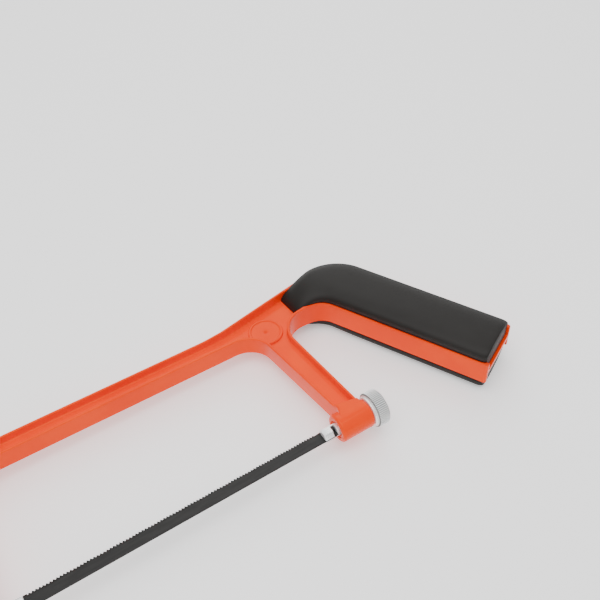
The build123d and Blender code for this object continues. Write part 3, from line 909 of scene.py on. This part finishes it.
def knob():
    """Turned profile with narrow grooves, whose depth follows the cube of a cosine."""
    a, b, r = KNOB_START, KNOB_START + KNOB_LENGTH, KNOB_RADIUS
    profile = np.array([
        (a + 2, KNOB_BORE), (a + 0.35, KNOB_BORE), (a, 2.9), (a, 3.0),
        *((a + step, r - drop) for step, drop in KNOB_CHAMFER),
        (a + 3.3, r),
        *((b - step, r - drop) for step, drop in KNOB_CHAMFER[::-1]),
        (b, 4.6), (b - 0.05, 4.4), (b - 0.5, 3.9), (b - 0.55, 3.7),
        (b - 0.55, 2.95), (b - 0.85, KNOB_BORE), (a + 2, KNOB_BORE),
    ])
    around = RIDGES * POINTS_PER_RIDGE
    points, faces = turned(profile, around=around, closed=False)
    points = points.reshape(len(profile), around, 3)
    angle = np.arange(around) / around * 2 * np.pi
    wave = np.abs(np.cos(RIDGES * angle / 2)) ** 3
    depth = GROOVE_DEPTH * wave[None, :] * (profile[:, 1:] > r - 0.5)
    shrink = 1 - depth / np.maximum(profile[:, 1:], 1)
    points[:, :, 1:] *= shrink[:, :, None]
    return points.reshape(-1, 3), faces


def washer():
    """Plain washer with rounded rims."""
    a, b, r = BARREL_LENGTH + 0.01, BARREL_LENGTH + WASHER_THICK, WASHER_RADIUS
    return turned([
        (a, WASHER_BORE), (a, r - 0.3), (a + 0.1, r - 0.08), (a + 0.3, r), (b - 0.3, r),
        (b - 0.1, r - 0.08), (b, r - 0.3), (b, WASHER_BORE),
    ])


def between_ridges(finish):
    """Mask of painted shade: 1 at the bottom of the knurl's grooves and 0 on its ridges and on
    the knob's end faces.
    """
    y, z = (
        finish.add("ShaderNodeSeparateXYZ", {}, {"Vector": finish.place}, i) - float(ORIGIN[i])
        for i in (1, 2)
    )
    radius = (y * y + z * z) ** 0.5 * (1 / MM)
    low = radius.step(KNOB_RADIUS - 0.95, KNOB_RADIUS - 0.75)
    return low * (1 - radius.step(KNOB_RADIUS - 0.42, KNOB_RADIUS - 0.12))


# the knurl's grooves get painted shade: darker, duller metal at their bottoms
knurled_zinc = zinc_finish("knurled_zinc_plate", between_ridges)
piece("knurled_knob", [knob()], knurled_zinc, "knob", ["tension_knob"])
piece("thin_washer", [washer()], zinc_plate, "saw_frame", ["knob_washer"])

# %% [markdown]
# ## Pieces cut from bar
# The hexagonal holders are milled and slotted: flat faces that meet at edges. So each is a
# copy of its solid, with the flat triangles joined again and every edge given a small
# bevel to catch the light.

# %% Bevelled copies
FLAT = math.radians(1)
BEVEL_FROM = math.radians(28)
HOLDER_BEVEL, SCREW_BEVEL = 0.12, 0.1


def bevelled_copy(name, node, width, material, body):
    """Copy of a solid with its flat triangles dissolved and its edges bevelled."""
    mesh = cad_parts[node].data.copy()
    mesh.name = name
    with editing(mesh) as edit:
        bmesh.ops.remove_doubles(edit, verts=edit.verts, dist=MERGE)
        bmesh.ops.dissolve_limit(edit, angle_limit=FLAT, verts=edit.verts, edges=edit.edges)
    made = finish_piece(name, mesh, material, body, [node])
    bevel = made.modifiers.new("edges", "BEVEL")
    bevel.width, bevel.segments, bevel.limit_method = width * MM, 2, "ANGLE"
    bevel.angle_limit, bevel.harden_normals = BEVEL_FROM, True


for end, body in (("rear", "tension_bolt"), ("front", "saw_frame")):
    bevelled_copy(
        end + "_holder", end + "_blade_holder", HOLDER_BEVEL, zinc_plate, body,
    )

# %% [markdown]
# ## The blade
# A strip of hardened steel in dark lacquer. Its teeth are set: they lean to one side and
# then the other in a wave, so that the cut is wider than the blade.

# %% Blade lacquer
lacquer = Finish("dark_blade_lacquer")
streak = lacquer.noise(1.2, 2.0, 0.5, (0.12, 1, 1))
mottle = lacquer.noise(5, 2.0)
dark = lacquer.mix(
    streak.step(0.3, 0.7), (0.016, 0.0155, 0.015, 1), (0.022, 0.0213, 0.0205, 1),
)
blade_lacquer = lacquer.set(
    Base_Color=dark,
    Roughness=0.40 + 0.14 * mottle,
    Metallic=0.2,
    Specular_IOR_Level=0.3,
    Normal=lacquer.bump(streak, 0.01, 0.3),
)

# %% Blade and pins
BLADE_PITCH = 150.0
BLADE_HALF_WIDTH = 3.175
BLADE_HALF_THICK = 0.325
TOOTH_PITCH = 1.41
TOOTH_DEPTH = 0.75
TOOTH_FREE = 7.5
FRONT_PIN = -PIN_SETBACK - BLADE_PITCH
SET_WIDTH = 0.16
SET_WAVE = 8
SET_HEIGHT = 1.6
END_POINTS = 13
# points of one tooth: parts of a pitch, and parts of the tooth's depth below its tip
TOOTH_STEPS = np.array([0, 0.06, 0.3, 0.36])
TOOTH_DROPS = [1.0, 0.93, 0.0, 0.0]
BLADE_LEVELS = np.array([0, 0.06, 0.4, 0.8, 1.0])


def blade():
    """Strip between its lower edge and its teeth; both edges close on round ends."""
    half = BLADE_HALF_WIDTH
    count = int((BLADE_PITCH - 2 * TOOTH_FREE) / TOOTH_PITCH)
    first = FRONT_PIN + TOOTH_FREE
    turn = np.radians(np.linspace(180, 90, END_POINTS))
    front_x = FRONT_PIN + half * np.cos(turn)
    rear_x = -PIN_SETBACK - half * np.cos(turn[::-1])
    tooth = first + np.arange(count)[:, None] * TOOTH_PITCH
    teeth = (tooth + TOOTH_STEPS * TOOTH_PITCH).ravel()
    last = first + count * TOOTH_PITCH
    x = np.concatenate([front_x, [first - 0.3], teeth, [last], rear_x])
    top = np.full(len(x), half)
    start = END_POINTS + 1
    stop = start + len(teeth)
    top[start:stop] -= TOOTH_DEPTH * np.tile(TOOTH_DROPS, count)
    top[stop] -= TOOTH_DEPTH
    top[:END_POINTS] = half * np.sin(turn)
    top[-END_POINTS:] = half * np.sin(turn[::-1])
    low = -np.minimum(top, half)
    low[END_POINTS:-END_POINTS] = -half
    y = low[:, None] + (top - low)[:, None] * BLADE_LEVELS[None, :]
    sway = SET_WIDTH * np.sin(2 * np.pi * (x - first) / (SET_WAVE * TOOTH_PITCH))
    sway *= (x > first - 1) & (x < last)
    lean = np.clip((y - (half - SET_HEIGHT)) / SET_HEIGHT, 0, 1) * sway[:, None]
    across = np.stack([x[:, None] + 0 * y, y, lean + BLADE_HALF_THICK], 2)
    under = np.stack([x[:, None] + 0 * y, y, lean - BLADE_HALF_THICK], 2)[:, ::-1]
    points = np.concatenate([across, under], 1)
    rows, columns = points.shape[:2]
    return points.reshape(-1, 3), closed_loft(rows, columns)


PIN_RADIUS, PIN_HALF = 0.9, 2.8
ROLL_PIN_RADIUS, ROLL_PIN_HALF, ROLL_PIN_SETBACK = 1.25, 6.6, 6
PIN_AROUND = 40


def cross_pin(x, radius, half):
    """Pin across the saw with rounded ends."""
    r = radius * 0.35
    return turned(np.concatenate([
        [(-half, AXIS), (-half, radius - r)],
        arc((radius - r, -half + r), r, 270, 360, 4)[:, ::-1],
        arc((radius - r, half - r), r, 0, 90, 4)[:, ::-1],
        [(half, AXIS)],
    ]), "z", (x, 0, 0), PIN_AROUND)


piece("toothed_blade", [blade()], blade_lacquer, "saw_blade", ["blade"])
for name, x in (("rear_blade_pin", -PIN_SETBACK), ("front_blade_pin", FRONT_PIN)):
    part = cross_pin(x, PIN_RADIUS, PIN_HALF)
    piece(name + "_round", [part], blade_lacquer, "saw_blade", [name])
roll_pin = cross_pin(FRONT_FACE - ROLL_PIN_SETBACK, ROLL_PIN_RADIUS, ROLL_PIN_HALF)
piece("front_roll_pin", [roll_pin], zinc_plate, "saw_frame", ["front_holder_pin"])

# %% [markdown]
# ## Grip screws
# Three pan-head screws enter from the far side. They are small, so bevelled copies of
# their solids are enough, in blackened steel.

# %% Screws
black_zinc = Finish("black_zinc_screw")
dust = black_zinc.noise(0.8, 2.0)
screw_steel = black_zinc.set(
    Base_Color=black_zinc.mix(dust, (0.05, 0.05, 0.052, 1), (0.09, 0.09, 0.092, 1)),
    Roughness=0.32 + 0.12 * dust,
    Metallic=0.9,
)
bevelled_copy("pan_screws", "grip_screws", SCREW_BEVEL, screw_steel, "saw_frame")

# %% [markdown]
# ## Floor and light
# A pale floor and large soft lights, as in a small studio: a broad light overhead, a second
# from the back right, and two weak ones from the front left and the right. They are large
# so that the gloss shows long soft shapes.

# %% Floor
FLOOR_HALF = 3.0
FLOOR_GAP = 0.0003
floor_corners = [
    (x * FLOOR_HALF, y * FLOOR_HALF, 0) for x, y in ((-1, -1), (1, -1), (1, 1), (-1, 1))
]
floor_mesh = bpy.data.meshes.new("floor")
floor_mesh.from_pydata(floor_corners, [], [(0, 1, 2, 3)])
floor = bpy.data.objects.new("floor", floor_mesh)
floor.location.z = cad_low[2] - FLOOR_GAP
pale_paper = Finish("pale_paper").set(
    Base_Color=(0.93, 0.93, 0.93, 1),
    Roughness=0.9,
    Emission_Color=(1, 1, 1, 1),
    Emission_Strength=0.4,
)
floor_mesh.materials.append(pale_paper)
bpy.context.scene.collection.objects.link(floor)

# %% Lights


def softbox(name, at, size, power, towards=(0, 0, 0.01)):
    """Large area light that faces a point; power in watts, sizes in metres."""
    data = bpy.data.lights.new(name, "AREA")
    data.shape, data.size, data.size_y, data.energy = "RECTANGLE", size[0], size[1], power
    light = bpy.data.objects.new(name, data)
    light.location = at
    light.rotation_euler = (Vector(at) - Vector(towards)).to_track_quat("Z", "Y").to_euler()
    bpy.context.scene.collection.objects.link(light)


softbox("overhead", (-0.2, -0.2, 1.2), (1.3, 1.0), 15)
softbox("front_left", (-1.1, -0.5, 0.6), (0.9, 0.9), 2)
softbox("back_right", (0.52, 0.80, 0.89), (1.1, 1.1), 8)
softbox("right_fill", (0.9, -0.9, 0.6), (0.7, 0.7), 1)

WORLD_STRENGTH = 0.55
world = bpy.data.worlds.new("studio")
world.use_nodes = True
sky = world.node_tree.nodes["Background"].inputs
sky["Color"].default_value, sky["Strength"].default_value = (1, 1, 1, 1), WORLD_STRENGTH
bpy.context.scene.world = world
